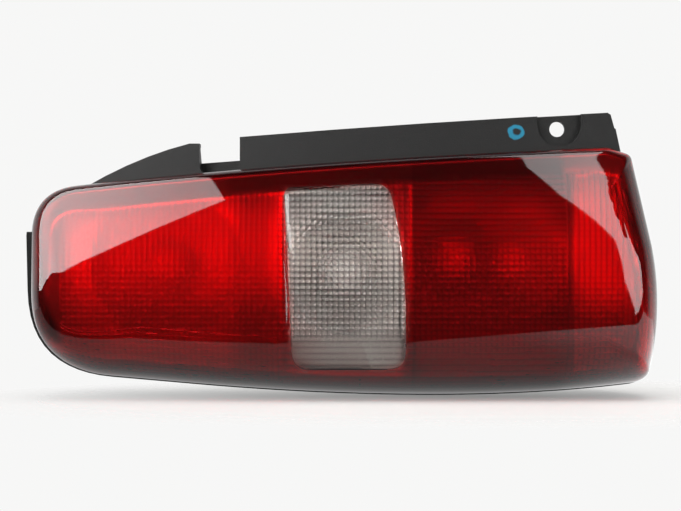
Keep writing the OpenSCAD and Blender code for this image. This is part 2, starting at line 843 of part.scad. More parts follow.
// A run of strip from point to point, in level and upright steps.
module strip(route, grow) {
    w = strip_w / 2 + grow;
    for (k = [0:len(route) - 2])
        let (a = route[k], b = route[k + 1])
        block(min(a[0], b[0]) - w, max(a[0], b[0]) + w, plate_rear_y, strip_y + grow,
            min(a[1], b[1]) - w, max(a[1], b[1]) + w);
}

ground_z = -67;
ground_route = [[lamps[0][0], ground_z], [lamps[3][0], ground_z]];
blade_z = carrier_z;
feed_routes = [
    [[lamps[0][0], blade_z], [blade_x(0), blade_z]],
    [[lamps[1][0], blade_z], [blade_x(4), blade_z]],
    [[lamps[2][0], blade_z], [lamps[2][0], -93], [blade_x(3), -93], [blade_x(3), blade_z]],
    [[lamps[3][0], blade_z], [lamps[3][0], -100], [blade_x(2), -100], [blade_x(2), blade_z]]
];
module ground_strip() {
    color(steel) {
        strip(ground_route, 0);
        strip([[blade_x(1), ground_z], [blade_x(1), blade_z]], 0);
        for (lamp = lamps) strip([[lamp[0], ground_z], [lamp[0], ground_z - 6]], 0);
    }
}
module feed_strips() {
    color(steel) for (route = feed_routes) strip(route, 0);
}
module connector_shroud() {
    color(carrier_grey) difference() {
        block(connector_x - connector_w / 2, connector_x + connector_w / 2, plate_rear_y,
            plate_rear_y + connector_depth, blade_z - connector_h / 2, blade_z + connector_h / 2);
        block(connector_x - connector_w / 2 + shroud_wall, connector_x + connector_w / 2 - shroud_wall,
            plate_rear_y - 1, plate_rear_y + connector_depth + 1,
            blade_z - connector_h / 2 + shroud_wall, blade_z + connector_h / 2 - shroud_wall);
        for (route = feed_routes) strip(route, strip_gap);
        strip([[blade_x(1), ground_z], [blade_x(1), blade_z]], strip_gap);
    }
}
module connector_blades() {
    color(brass) for (k = [0:blade_count - 1])
        block(blade_x(k) - blade_t / 2, blade_x(k) + blade_t / 2, strip_y, strip_y + blade_len,
            blade_z - blade_w / 2, blade_z + blade_w / 2);
}

housing();
lens_red();
lens_clear();
reflector();
bulb_carrier();
carrier_gasket();
body_gasket();
locating_pegs();
fog_bulb_glass();
fog_bulb_cap();
reverse_bulb_glass();
reverse_bulb_cap();
stop_bulb_glass();
stop_bulb_cap();
tail_bulb_glass();
tail_bulb_cap();
contact_springs();
ground_strip();
feed_strips();
connector_shroud();
connector_blades();
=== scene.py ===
# Looks of the tail light cluster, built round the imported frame.
import json
import math

import bpy
import numpy as np
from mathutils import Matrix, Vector
from mathutils.bvhtree import BVHTree
from mathutils.geometry import delaunay_2d_cdt

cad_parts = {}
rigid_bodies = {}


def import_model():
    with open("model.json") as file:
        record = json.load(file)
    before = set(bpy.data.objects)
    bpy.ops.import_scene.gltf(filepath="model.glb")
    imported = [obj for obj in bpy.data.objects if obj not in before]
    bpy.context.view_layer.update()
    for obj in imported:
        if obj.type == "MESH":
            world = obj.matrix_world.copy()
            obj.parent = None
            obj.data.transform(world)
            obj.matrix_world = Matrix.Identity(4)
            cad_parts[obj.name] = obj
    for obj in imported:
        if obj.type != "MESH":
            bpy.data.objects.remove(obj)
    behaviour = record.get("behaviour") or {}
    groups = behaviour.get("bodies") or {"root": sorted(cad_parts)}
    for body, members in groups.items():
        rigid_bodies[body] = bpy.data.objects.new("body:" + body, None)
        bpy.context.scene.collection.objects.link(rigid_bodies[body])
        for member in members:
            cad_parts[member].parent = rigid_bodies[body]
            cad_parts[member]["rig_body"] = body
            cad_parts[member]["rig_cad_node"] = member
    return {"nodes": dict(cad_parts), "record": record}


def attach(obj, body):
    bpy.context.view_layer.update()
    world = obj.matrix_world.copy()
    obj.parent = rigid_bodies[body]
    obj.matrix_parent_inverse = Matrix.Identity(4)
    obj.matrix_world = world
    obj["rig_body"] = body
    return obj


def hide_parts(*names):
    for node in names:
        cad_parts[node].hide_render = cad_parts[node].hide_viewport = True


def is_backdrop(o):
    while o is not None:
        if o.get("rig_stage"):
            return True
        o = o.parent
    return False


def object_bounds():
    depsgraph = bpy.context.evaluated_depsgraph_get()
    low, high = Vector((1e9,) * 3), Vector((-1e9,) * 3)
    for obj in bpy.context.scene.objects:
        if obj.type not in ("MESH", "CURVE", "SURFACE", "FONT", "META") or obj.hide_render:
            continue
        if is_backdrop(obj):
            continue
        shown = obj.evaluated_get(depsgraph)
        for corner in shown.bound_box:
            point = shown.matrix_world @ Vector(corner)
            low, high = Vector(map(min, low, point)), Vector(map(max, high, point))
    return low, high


bl_info = {
    "name": "Tail light cluster",
    "version": (1, 0, 0),
    "blender": (4, 5, 0),
    "location": "3D View > Sidebar > Tail light",
    "description": "Dresses the frame of a tail light cluster with its lens, optics, finishes and stage",
    "category": "Object",
}

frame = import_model()
nodes = frame["nodes"]
BODY = "root"


# Sizes and colours


class LensSizes(bpy.types.PropertyGroup):
    length: bpy.props.FloatProperty(
        name="Length", description="Length of the lens along its seam", default=0.378, unit="LENGTH"
    )
    past_screw: bpy.props.FloatProperty(
        name="Past screw", description="Screw hole to the wide end", default=0.0605, unit="LENGTH"
    )
    below_screw: bpy.props.FloatProperty(
        name="Below screw", description="Screw hole down to the lens", default=0.0115, unit="LENGTH"
    )
    top_rise: bpy.props.FloatProperty(
        name="Top rise", description="Rise of the top edge", default=0.0255, unit="LENGTH"
    )
    narrow_end: bpy.props.FloatProperty(
        name="Narrow end", description="Height of the narrow end", default=0.108, unit="LENGTH"
    )
    wide_end: bpy.props.FloatProperty(
        name="Wide end", description="Height of the wide end", default=0.141, unit="LENGTH"
    )
    wall: bpy.props.FloatProperty(
        name="Wall", description="Wall of the lens", default=0.0028, unit="LENGTH"
    )
    crown: bpy.props.FloatProperty(
        name="Crown", description="Extra height of the crown", default=0.011, unit="LENGTH"
    )
    end_fall: bpy.props.FloatProperty(
        name="End fall", description="Fall towards the two ends", default=0.006, unit="LENGTH"
    )
    seam_drop: bpy.props.FloatProperty(
        name="Seam drop", description="How far the lower seam lies back", default=0.026, unit="LENGTH"
    )


class OpticSizes(bpy.types.PropertyGroup):
    pitch_across: bpy.props.FloatProperty(
        name="Pitch across", description="Spacing of the upright ribs", default=0.0032, unit="LENGTH"
    )
    pitch_up: bpy.props.FloatProperty(
        name="Pitch up", description="Spacing of the level ribs", default=0.0034, unit="LENGTH"
    )
    depth: bpy.props.FloatProperty(
        name="Depth", description="Height of a pillow", default=0.00034, unit="LENGTH"
    )


class LampColours(bpy.types.PropertyGroup):
    red: bpy.props.FloatVectorProperty(
        name="Red", description="Red of the lens",
        default=(0.96, 0.011, 0.014), size=3, subtype="COLOR", min=0, max=1,
    )
    # the darker red of the stop field is painted shade
    stop_shade_red: bpy.props.FloatVectorProperty(
        name="Deep red", description="Red of the stop field",
        default=(0.76, 0.006, 0.01), size=3, subtype="COLOR", min=0, max=1,
    )
    clear: bpy.props.FloatVectorProperty(
        name="Clear", description="Tint of the clear window",
        default=(0.97, 0.94, 0.91), size=3, subtype="COLOR", min=0, max=1,
    )
    housing: bpy.props.FloatVectorProperty(
        name="Housing", description="Dark grey of the housing",
        default=(0.0045, 0.0044, 0.004), size=3, subtype="COLOR", min=0, max=1,
    )
    ink: bpy.props.FloatVectorProperty(
        name="Ink", description="Blue of the ink ring",
        default=(0.006, 0.24, 0.39), size=3, subtype="COLOR", min=0, max=1,
    )
    floor: bpy.props.FloatVectorProperty(
        name="Floor", description="Pale floor",
        default=(0.82, 0.8, 0.78), size=3, subtype="COLOR", min=0, max=1,
    )


# Helpers for modelling


def deselect():
    if bpy.context.object and bpy.context.object.mode != "OBJECT":
        bpy.ops.object.mode_set(mode="OBJECT")
    bpy.ops.object.select_all(action="DESELECT")


def activate(obj):
    deselect()
    obj.select_set(True)
    bpy.context.view_layer.objects.active = obj


def named(name):
    obj = bpy.context.object
    obj.name = name
    obj.data.name = name
    return obj


def settle(obj):
    activate(obj)
    bpy.ops.object.transform_apply(location=True, rotation=True, scale=True)


def smooth_by(obj, degrees):
    activate(obj)
    bpy.ops.object.shade_smooth_by_angle(angle=math.radians(degrees))


def copy_of(obj, name):
    new = obj.copy()
    new.data = obj.data.copy()
    new.name = name
    new.data.name = name
    bpy.context.scene.collection.objects.link(new)
    return new


def dress(obj, material):
    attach(obj, BODY)
    obj.data.materials.clear()
    obj.data.materials.append(material)


# The form of the lens, in millimetres, from the same values as the frame


def mix(a, b, t):
    return a + (b - a) * t


def bezier(a, b, c, t):
    return a * (1 - t) ** 2 + b * (2 * t * (1 - t)) + c * t * t


def outline(corners, finer):
    """A closed outline with rounded corners. Each is (corner, rounding before, rounding after, steps)."""
    points = []
    for k, (corner, before, after, steps) in enumerate(corners):
        last = Vector(corners[k - 1][0])
        following = Vector(corners[(k + 1) % len(corners)][0])
        v = Vector(corner)
        start = v + (last - v).normalized() * before
        end = v + (following - v).normalized() * after
        n = steps * finer
        points += [bezier(start, v, end, j / n) for j in range(n + 1)]
    return points


def smoothed(t):
    u = max(0, min(1, t))
    return u * u * (3 - 2 * u)


def roll_share(u, p):
    """How much of its depth a rolled edge of roundness p has at share u of its width."""
    return (1 - (1 - min(u, 1)) ** p) ** (1 / p)


# Shares of the rolled edge: the strips at the rim, the edge of the optic field, and the rings inside it
RIM_SHARES = (0.085, 0.045, 0.02, 0.006, 0)
FIELD_EDGE = 0.14
ROLL_SHARES = (0.21, 0.29, 0.38, 0.47, 0.57, 0.68, 0.8, 0.9, 1)

# Where the fields on the lens end along X, in millimetres, from the narrow end to the wide end
PLAIN_END, FOG_END, WINDOW_END, STOP_END, PILLOWS_END, RIBS_END = -294, -166, -88, 2, 36, 50


class LensForm:
    """The outer form of the lens. Values by side go top, bottom, wide end, narrow end."""

    rolls = (4, 31, 17, 13)
    roundness = (2.6, 2, 2.1, 2.2)
    spine_in = 58
    face_out = 18
    seam_out = 5.3
    lower_crown = 0.45

    def __init__(self, sizes, finer):
        mm = 1000
        self.length = sizes.length * mm
        self.wall = sizes.wall * mm
        self.crown = sizes.crown * mm
        self.end_fall = sizes.end_fall * mm
        self.seam_drop = sizes.seam_drop * mm
        self.x1 = sizes.past_screw * mm
        self.x0 = self.x1 - self.length
        self.top_wide = -sizes.below_screw * mm
        self.top_narrow = self.top_wide - sizes.top_rise * mm
        self.narrow_h = sizes.narrow_end * mm
        self.foot_narrow = self.top_narrow - self.narrow_h
        self.foot_wide = self.top_wide - sizes.wide_end * mm
        self.face_y = -self.face_out - self.crown
        self.crown_z = (self.top_wide + self.foot_wide) / 2 - 2
        self.seam = self.make_seam(finer)
        self.count = len(self.seam)
        self.facing = []
        for k in range(self.count):
            d = self.seam[(k + 1) % self.count] - self.seam[k - 1]
            self.facing.append(Vector((-d.y, d.x)).normalized())
        self.centre = Vector((self.x0 + 0.53 * self.length, (self.top_narrow + self.foot_wide) / 2))

    def make_seam(self, finer):
        top_mid_z = self.top_wide - 0.28 * (self.top_wide - self.top_narrow)
        top_mid = Vector((self.x0 + 0.45 * self.length, top_mid_z))
        narrow_top = Vector((self.x0 + 4.5, self.top_narrow))
        slant = Vector((self.x1 - 31, self.top_wide))
        wide_top = Vector((self.x1 - 17.5, self.top_wide - 4.5))
        wide_mid = Vector((self.x1 + 4.5, self.top_wide - 0.68 * (self.top_wide - self.foot_wide)))
        wide_foot = Vector((self.x1 - 4.5, self.foot_wide))
        foot_mid = Vector((self.x0 + 0.66 * self.length, self.foot_wide - 14.5))
        narrow_foot = Vector((self.x0, self.foot_narrow))
        return outline(
            [
                (narrow_top, 27, 27, 8),
                (top_mid, (top_mid - narrow_top).length - 36, (top_mid - slant).length - 12, 18),
                (slant, 3, 3, 2),
                (wide_top, 3, 3, 2),
                (wide_mid, 38, 36, 10),
                (wide_foot, 7, 9, 4),
                (foot_mid, (foot_mid - wide_foot).length - 14, 158, 18),
                (narrow_foot, 48, 48, 12),
            ],
            finer,
        )

    def by_side(self, k, values):
        n = self.facing[k]
        top, bottom, wide, narrow = values
        return n.y * n.y * (top if n.y > 0 else bottom) + n.x * n.x * (wide if n.x > 0 else narrow)

    def moved_in(self, k, d):
        """The place at distance d inside the seam, on the way to the spine along the lens's middle."""
        p = self.seam[k]
        t = (p.x - self.x0) / self.length
        z0 = (self.top_narrow + self.foot_narrow) / 2
        z1 = (self.top_wide + self.foot_wide) / 2
        s = Vector((self.x0 + self.spine_in + (self.length - 2 * self.spine_in) * t, mix(z0, z1, t)))
        return p + (s - p) * (d / (p - s).dot(self.facing[k]))

    def seam_y(self, z):
        return -self.seam_out + self.seam_drop * smoothed((self.top_narrow + 2 - z) / (self.narrow_h + 8))

    def front_y(self, x, z):
        across = (z - self.crown_z) / ((self.top_wide - self.foot_wide) / 2)
        along = (x - self.centre.x) / (self.length / 2)
        crown = self.crown * across * across * (1 if across > 0 else self.lower_crown)
        return self.face_y + crown + self.end_fall * along * along

    def edge_ring(self, u, t):
        """A ring on the rolled edge, at share u of the way in from the rim and t inside the outer face."""
        ring = []
        for k in range(self.count):
            width = self.by_side(k, self.rolls)
            q = self.moved_in(k, t + width * u)
            rim = self.seam_y(self.seam[k].y)
            y = mix(rim, self.front_y(q.x, q.y), roll_share(u, self.by_side(k, self.roundness)))
            ring.append(Vector((q.x, y + t * roll_share(u, 2), q.y)))
        return ring

    def along(self, x, sign):
        """Height of the seam at x, on its top side for sign 1 and on its lower side for -1."""
        side = sorted((p.x, p.y) for p, n in zip(self.seam, self.facing) if n.y * sign > 0.5)
        return float(np.interp(x, [p[0] for p in side], [p[1] for p in side]))

    def foot_z(self, x):
        return self.along(x, -1)

    def top_z(self, x):
        return self.along(x, 1)


def window_outline(finer):
    left, below, height = -163, -33, 109
    foot_x, foot_z = left + 5, below - height
    return outline(
        [
            ((left, below - 3), 5, 5, 4),
            ((left + 61, below), 10, 10, 6),
            ((foot_x + 67, below - 0.45 * height), 38, 46, 8),
            ((foot_x + 66, foot_z), 10, 10, 6),
            ((foot_x, foot_z), 10, 10, 6),
        ],
        finer,
    )


# The optics on the inner face of the lens: how far they stay from its top and foot, the height under
# which the window has level ribs alone, and the points on each pitch with the rows and columns they fill
CLEAR_OF_TOP, CLEAR_OF_FOOT = 15, 9
WINDOW_RIBS = -124
PER_PITCH = 4
COLUMNS, ROWS = range(-412, 96), range(-200, 0)


def optic_depths(x, z, top, foot):
    """Height of the upright ribs and of the level ones at a place, as shares of a pillow's."""
    if z > top - CLEAR_OF_TOP or z < foot + CLEAR_OF_FOOT or x < PLAIN_END:
        return 0, 0
    if x < FOG_END:
        return 0.75, 0.25 + 0.55 * smoothed((-72 - z) / 16)
    if x < WINDOW_END:
        return (0, 1.1) if z < WINDOW_RIBS else (1, 1)
    if x < STOP_END:
        return 0.15 + 0.75 * smoothed((-62 - z) / 14) * smoothed((136 + z) / 10), 1
    if x < PILLOWS_END:
        return 1, 0.2 + 0.7 * smoothed((-84 - z) / 14)
    return (0.6, 0) if x < RIBS_END else (0, 0)


def cell(value, pitch):
    f = value / pitch
    return f - math.floor(f) - 0.5


def within(points, ring):
    """Which of the points lie inside the closed outline."""
    x, z = points[:, 0], points[:, 1]
    hit = np.zeros(len(points), bool)
    for a, b in zip(ring, np.roll(ring, -1, 0)):
        if a[1] != b[1]:
            hit ^= ((a[1] > z) != (b[1] > z)) & (x < (b[0] - a[0]) * (z - a[1]) / (b[1] - a[1]) + a[0])
    return hit


def distance_to(points, ring):
    """How far the points lie from the closed outline."""
    far = np.full(len(points), 1e9)
    for a, b in zip(ring, np.roll(ring, -1, 0)):
        d = b - a
        t = np.clip(((points - a) @ d) / max(d @ d, 1e-9), 0, 1)
        far = np.minimum(far, ((points - a - t[:, None] * d) ** 2).sum(1))
    return np.sqrt(far)


def beside(points, ring, gap):
    return distance_to(points, ring) < gap


def flat(ring):
    """The X and Z of each point of an outline."""
    return np.array([(p.x, p.z) if len(p) == 3 else (p.x, p.y) for p in ring])


class LensFace:
    """One face of the lens, the outer one or the inner one, as a height over the X and Z plane."""

    steps = 70
    crowding = 1.4
    in_front = -200

    def __init__(self, form, depth):
        self.form, self.depth = form, depth
        rings = [form.edge_ring((k / self.steps) ** self.crowding, depth) for k in range(self.steps + 1)]
        n = form.count
        corners = [p for ring in rings for p in ring]
        quads = []
        for j in range(self.steps):
            for i in range(n):
                following = (i + 1) % n
                quads.append((j * n + i, j * n + following, (j + 1) * n + following, (j + 1) * n + i))
        self.tree = BVHTree.FromPolygons(corners, quads)
        self.rim = flat(rings[-1])

    def heights(self, points):
        level = within(points, self.rim)
        out = []
        for (x, z), plain in zip(points, level):
            y = self.form.front_y(x, z) + self.depth
            if not plain:
                hit = self.tree.ray_cast(Vector((x, self.in_front, z)), Vector((0, 1, 0)))[0]
                if hit is not None:
                    y = hit.y
            out.append(y)
        return np.array(out)


def rolled_points(form, depth, shares):
    """Points on the rolled edge with their exact heights, and the edges that join them round the lens."""
    places, heights, joins = [], [], []
    for share in shares:
        start = len(places)
        ring = form.edge_ring(share, depth)
        places += [(p.x, p.z) for p in ring]
        heights += [p.y for p in ring]
        for k, (p, q) in enumerate(zip(ring, ring[1:] + ring[:1])):
            # no joins where the foot of the window reaches into the roll
            if not (FOG_END < p.x < WINDOW_END and p.z < form.crown_z):
                joins.append((start + k, start + (k + 1) % len(ring)))
    return np.array(places), np.array(heights), joins


# The grid on the outer face: from and to along X and Z, and the spacing
GRID_X, GRID_Z, GRID_SPACING = (-330, 75), (-170, 0), 3.1


def outer_points(form):
    """A plain grid over the middle of the outer face."""
    across, up = np.arange(*GRID_X, GRID_SPACING), np.arange(*GRID_Z, GRID_SPACING)
    grid = np.array([(x, z) for x in across for z in up])
    last = flat(form.edge_ring(1, 0))
    return grid[within(grid, last) & ~beside(grid, last, 1.5)]


def inner_points(form, optics):
    """Points over the inner face, with the height of the optics there, and how far down a valley each lies,
    which sets the painted shade there.
    """
    pitch_x, pitch_z = optics.pitch_across * 1000, optics.pitch_up * 1000
    points, bumps, valley_shades = [], [], []
    for i in COLUMNS:
        x = i * pitch_x / PER_PITCH
        top, foot = form.top_z(x), form.foot_z(x)
        for j in ROWS:
            z = j * pitch_z / PER_PITCH
            upright, level = optic_depths(x, z, top, foot)
            if upright or level or (i % PER_PITCH == 0 and j % PER_PITCH == 0):
                points.append((x, z))
                across, up = 4 * cell(x, pitch_x) ** 2, 4 * cell(z, pitch_z) ** 2
                lower_at_foot = mix(0.35, 1, smoothed((z + 128) / 12))
                bumps.append((upright * (1 - across) + level * (1 - up)) * lower_at_foot)
                valley_shades.append(min(1, upright * across + level * up))
    return np.array(points), np.array(bumps) * optics.depth * 1000, np.array(valley_shades)


def shade_at(form, x, z):
    """How much painted shade darkens the lens at a place: under its top edge, and low on the narrow end."""
    if -215 < x < 4:
        under_top = smoothed((z - form.top_z(x) + 17) / 4)
        return 0.62 * under_top * smoothed((x + 215) / 25) * smoothed((4 - x) / 6)
    if x < -285:
        inward = -306 - 0.4 * (z + 95)
        return smoothed((inward - x) / 7 + 0.5) * smoothed((-86 - z) / 5) * smoothed((z + 132) / 8)
    return 0


# Gaps that keep points clear of the edges of a face, and the width of the joint round the window, tinted
# pink and on the red lightened as a painted highlight
ROLL_GAP, EDGE_GAP, WINDOW_GAP = 0.6, 0.3, 0.35
JOINT_WIDTH = 1.7
FIRST_RING_SHADE = 0.6


def sheet_of(form, depth, window, points, bumps, valley_shades):
    """One face of the lens inside its rim, with triangles apart for the red shot and the clear window."""
    face = LensFace(form, depth)
    edge = flat(form.edge_ring(FIELD_EDGE, depth))
    rolled, heights, joins = rolled_points(form, depth, ROLL_SHARES)
    far = ~beside(rolled, window, ROLL_GAP)
    kept = np.cumsum(far) - 1
    joins = [(kept[i], kept[j]) for i, j in joins if far[i] and far[j]]
    rolled, heights = rolled[far], heights[far]
    keep = within(points, edge) & ~beside(points, edge, EDGE_GAP) & ~beside(points, window, WINDOW_GAP)
    points, bumps, valley_shades = points[keep], bumps[keep], valley_shades[keep]
    every = np.vstack([edge, window, rolled, points])
    n, m, r = len(edge), len(window), len(rolled)
    loops = [(i, (i + 1) % n) for i in range(n)] + [(n + i, n + (i + 1) % m) for i in range(m)]
    loops += [(int(n + m + i), int(n + m + j)) for i, j in joins]
    verts, _, tris, origin, _, _ = delaunay_2d_cdt([Vector(p) for p in every.tolist()], loops, [], 0, 1e-6)
    where = {old: new for new, olds in enumerate(origin) for old in olds}
    places = np.array([tuple(v) for v in verts])
    y = face.heights(places)
    for k, p in enumerate(form.edge_ring(FIELD_EDGE, depth)):
        y[where[k]] = p.y
    for k, height in enumerate(heights):
        y[where[n + m + k]] = height
    # how far down a valley each point lies, which sets its painted shade
    valley = np.zeros(len(places))
    shade = np.array([shade_at(form, x, z) for x, z in places], float)
    # how many points of the first ring are left
    first = np.searchsorted(np.flatnonzero(far), form.count)
    # painted shade in full on the edge ring, and less on the first rolled ring
    shade[[where[i] for i in range(n)]] = 1
    shade[[where[n + m + i] for i in range(first)]] = FIRST_RING_SHADE
    for k, bump in enumerate(bumps):
        y[where[n + m + r + k]] += bump
        valley[where[n + m + r + k]] = valley_shades[k]
    tris = np.array([t for t in tris if len(t) == 3])
    middles = places[tris].mean(axis=1)
    inside, clear = within(middles, edge), within(middles, window)
    return {
        "corners": np.column_stack([places[:, 0], y, places[:, 1]]),
        "red": tris[inside & ~clear],
        "clear": tris[inside & clear],
        "ring": [where[i] for i in range(n)],
        "hole": [where[n + i] for i in range(m)],
        "valley": valley,
        "shade": shade,
        "joint": np.clip(1 - distance_to(places, window) / JOINT_WIDTH, 0, 1),
    }


def strip_between(a, b):
    """Faces between two rings of as many corners."""
    n = len(a)
    return [(a[i], a[(i + 1) % n], b[(i + 1) % n], b[i]) for i in range(n)]


def mesh_object(name, corners, faces, masks):
    """An object of the corners, in millimetres, that the faces use, with the masks as attributes."""
    mesh = bpy.data.meshes.new(name)
    mesh.from_pydata((np.array(corners) * 0.001).tolist(), [], faces)
    for label, values in masks.items():
        mesh.attributes.new(label, "FLOAT", "POINT").data.foreach_set("value", values.astype(np.float32))
    obj = bpy.data.objects.new(name, mesh)
    bpy.context.scene.collection.objects.link(obj)
    activate(obj)
    bpy.ops.object.mode_set(mode="EDIT")
    bpy.ops.mesh.select_all(action="SELECT")
    bpy.ops.mesh.delete_loose()
    bpy.ops.mesh.select_all(action="SELECT")
    bpy.ops.mesh.normals_make_consistent(inside=False)
    bpy.ops.object.mode_set(mode="OBJECT")
    return obj


def lens_shots(form, optics):
    """The red shot with its hole, and the clear shot that fills it, from the same two faces."""
    window = flat(window_outline(2))
    near = outer_points(form)
    far, bumps, valley_shades = inner_points(form, optics)
    none = np.zeros(len(near))
    front = sheet_of(form, 0, window, near, none, none)
    back = sheet_of(form, form.wall, window, far, bumps, valley_shades)
    n, count = len(front["corners"]), form.count
    edge = [form.edge_ring(u, 0) for u in RIM_SHARES]
    edge += [form.edge_ring(u, form.wall) for u in reversed(RIM_SHARES)]
    rim_corners = [np.array([tuple(p) for p in ring]) for ring in edge]
    corners = np.vstack([front["corners"], back["corners"]] + rim_corners)
    base = n + len(back["corners"])
    rings = [front["ring"]]
    rings += [[base + j * count + i for i in range(count)] for j in range(len(edge))]
    rings += [[n + i for i in back["ring"]]]
    walls = strip_between(front["hole"], [n + i for i in back["hole"]])
    red = front["red"].tolist() + (back["red"][:, ::-1] + n).tolist() + walls
    for a, b in zip(rings, rings[1:]):
        red += strip_between(a, b)
    clear = front["clear"].tolist() + (back["clear"][:, ::-1] + n).tolist() + walls
    rim = count * len(edge)
    masks = {
        "optic_valley_shade": np.concatenate([front["valley"], back["valley"], np.zeros(rim)]),
        "inner_face": np.concatenate([np.zeros(n), np.ones(len(back["corners"])), np.zeros(rim)]),
        "rim_shade": np.concatenate([front["shade"], back["shade"], np.ones(rim)]),
        "window_frame": np.concatenate([front["joint"], back["joint"], np.zeros(rim)]),
    }
    return (
        mesh_object("lens_red_optic", corners, red, masks),
        mesh_object("lens_clear_optic", corners, clear, masks),
    )


# Shared effects


def group(name, inputs, outputs):
    g = bpy.data.node_groups.new(name, "ShaderNodeTree")
    for label, kind, value in inputs:
        g.interface.new_socket(name=label, in_out="INPUT", socket_type=kind).default_value = value
    for label, kind in outputs:
        g.interface.new_socket(name=label, in_out="OUTPUT", socket_type=kind)
    return g, g.nodes.new("NodeGroupInput"), g.nodes.new("NodeGroupOutput")


def maths(tree, operation, a, b, clamp=False):
    n = tree.nodes.new("ShaderNodeMath")
    n.operation = operation
    n.use_clamp = clamp
    for socket, value in zip(n.inputs, (a, b)):
        if isinstance(value, (int, float)):
            socket.default_value = value
        else:
            tree.links.new(value, socket)
    return n.outputs[0]


def times(tree, first, *others):
    for other in others:
        first = maths(tree, "MULTIPLY", first, other)
    return first


def rest_of(tree, mask):
    return maths(tree, "SUBTRACT", 1.0, mask)


def axes(tree):
    """X, Y and Z of the place on the object."""
    where = tree.nodes.new("ShaderNodeTexCoord")
    split = tree.nodes.new("ShaderNodeSeparateXYZ")
    tree.links.new(where.outputs["Object"], split.inputs[0])
    return split.outputs


def grain_group():
    """Fine moulded grain: a height, and a mask of slow change of tone."""
    g, into, out = group(
        "moulded_grain",
        [("Scale", "NodeSocketFloat", 900.0)],
        [("Height", "NodeSocketFloat"), ("Tone", "NodeSocketFloat")],
    )
    where = g.nodes.new("ShaderNodeTexCoord")
    fine = g.nodes.new("ShaderNodeTexNoise")
    fine.inputs["Detail"].default_value = 3
    g.links.new(where.outputs["Object"], fine.inputs["Vector"])
    g.links.new(into.outputs["Scale"], fine.inputs["Scale"])
    slow = g.nodes.new("ShaderNodeTexNoise")
    slow.inputs["Scale"].default_value = 24
    slow.inputs["Detail"].default_value = 4
    g.links.new(where.outputs["Object"], slow.inputs["Vector"])
    g.links.new(fine.outputs["Fac"], out.inputs["Height"])
    g.links.new(slow.outputs["Fac"], out.inputs["Tone"])
    return g


def band_group():
    """A mask that is 1 between two values of X, with soft ends."""
    g, into, out = group(
        "field_band",
        [
            ("From", "NodeSocketFloat", 0.0),
            ("To", "NodeSocketFloat", 0.0),
            ("Softness", "NodeSocketFloat", 0.001),
        ],
        [("Mask", "NodeSocketFloat")],
    )
    x = axes(g)["X"]
    softness = into.outputs["Softness"]
    rise = maths(g, "DIVIDE", maths(g, "SUBTRACT", x, into.outputs["From"]), softness, True)
    fall = maths(g, "DIVIDE", maths(g, "SUBTRACT", into.outputs["To"], x), softness, True)
    g.links.new(times(g, rise, fall), out.inputs["Mask"])
    return g


def spot_group():
    """A mask that is 1 at a point and fades to 0 at distance 1, after the place is scaled."""
    g, into, out = group(
        "soft_spot",
        [
            ("Centre", "NodeSocketVector", (0, 0, 0)),
            ("Scale", "NodeSocketVector", (1, 1, 1)),
            ("Waver", "NodeSocketFloat", 0.0),
        ],
        [("Mask", "NodeSocketFloat")],
    )
    where = g.nodes.new("ShaderNodeTexCoord")
    away = g.nodes.new("ShaderNodeVectorMath")
    away.operation = "SUBTRACT"
    g.links.new(where.outputs["Object"], away.inputs[0])
    g.links.new(into.outputs["Centre"], away.inputs[1])
    scaled = g.nodes.new("ShaderNodeVectorMath")
    scaled.operation = "MULTIPLY"
    g.links.new(away.outputs[0], scaled.inputs[0])
    g.links.new(into.outputs["Scale"], scaled.inputs[1])
    length = g.nodes.new("ShaderNodeVectorMath")
    length.operation = "LENGTH"
    g.links.new(scaled.outputs[0], length.inputs[0])
    noise = g.nodes.new("ShaderNodeTexNoise")
    noise.inputs["Scale"].default_value = 240
    g.links.new(where.outputs["Object"], noise.inputs["Vector"])
    waver = times(g, maths(g, "SUBTRACT", noise.outputs["Fac"], 0.5), into.outputs["Waver"])
    share = maths(g, "ADD", length.outputs["Value"], waver, True)
    g.links.new(rest_of(g, times(g, share, share)), out.inputs["Mask"])
    return g


effects = {}


def effect(tree, name, **values):
    """Places a shared effect in a material. Its group is made at its first use."""
    makers = {"grain": grain_group, "band": band_group, "spot": spot_group}
    if name not in effects:
        effects[name] = makers[name]()
    n = tree.nodes.new("ShaderNodeGroup")
    n.node_tree = effects[name]
    for label, value in values.items():
        n.inputs[label].default_value = value
    return n


def field(tree, start, end, softness):
    """A mask that is 1 between two values of X."""
    return effect(tree, "band", From=start, To=end, Softness=softness).outputs["Mask"]


def spot(tree, centre, scale, waver=0.0):
    """A mask that is 1 at the centre and fades out. A larger scale makes it smaller."""
    return effect(tree, "spot", Centre=centre, Scale=scale, Waver=waver).outputs["Mask"]


def shader(name):
    m = bpy.data.materials.new(name)
    m.use_nodes = True
    return m, m.node_tree, m.node_tree.nodes["Principled BSDF"]


def mixed_colour(tree, mask, a, b):
    n = tree.nodes.new("ShaderNodeMix")
    n.data_type = "RGBA"
    tree.links.new(mask, n.inputs[0])
    for socket, value in ((n.inputs[6], a), (n.inputs[7], b)):
        if hasattr(value, "is_linked"):
            tree.links.new(value, socket)
        else:
            socket.default_value = (*value[:3], 1)
    return n.outputs[2]


def ranged(tree, value, low, high, start=0.0, end=1.0, how="LINEAR"):
    n = tree.nodes.new("ShaderNodeMapRange")
    n.interpolation_type = how
    for label, number in (("From Min", start), ("From Max", end), ("To Min", low), ("To Max", high)):
        n.inputs[label].default_value = number
    tree.links.new(value, n.inputs["Value"])
    return n.outputs["Result"]


def bumped(tree, surface, height, strength, distance):
    n = tree.nodes.new("ShaderNodeBump")
    n.inputs["Strength"].default_value = strength
    n.inputs["Distance"].default_value = distance
    tree.links.new(height, n.inputs["Height"])
    tree.links.new(n.outputs["Normal"], surface.inputs["Normal"])


# Materials


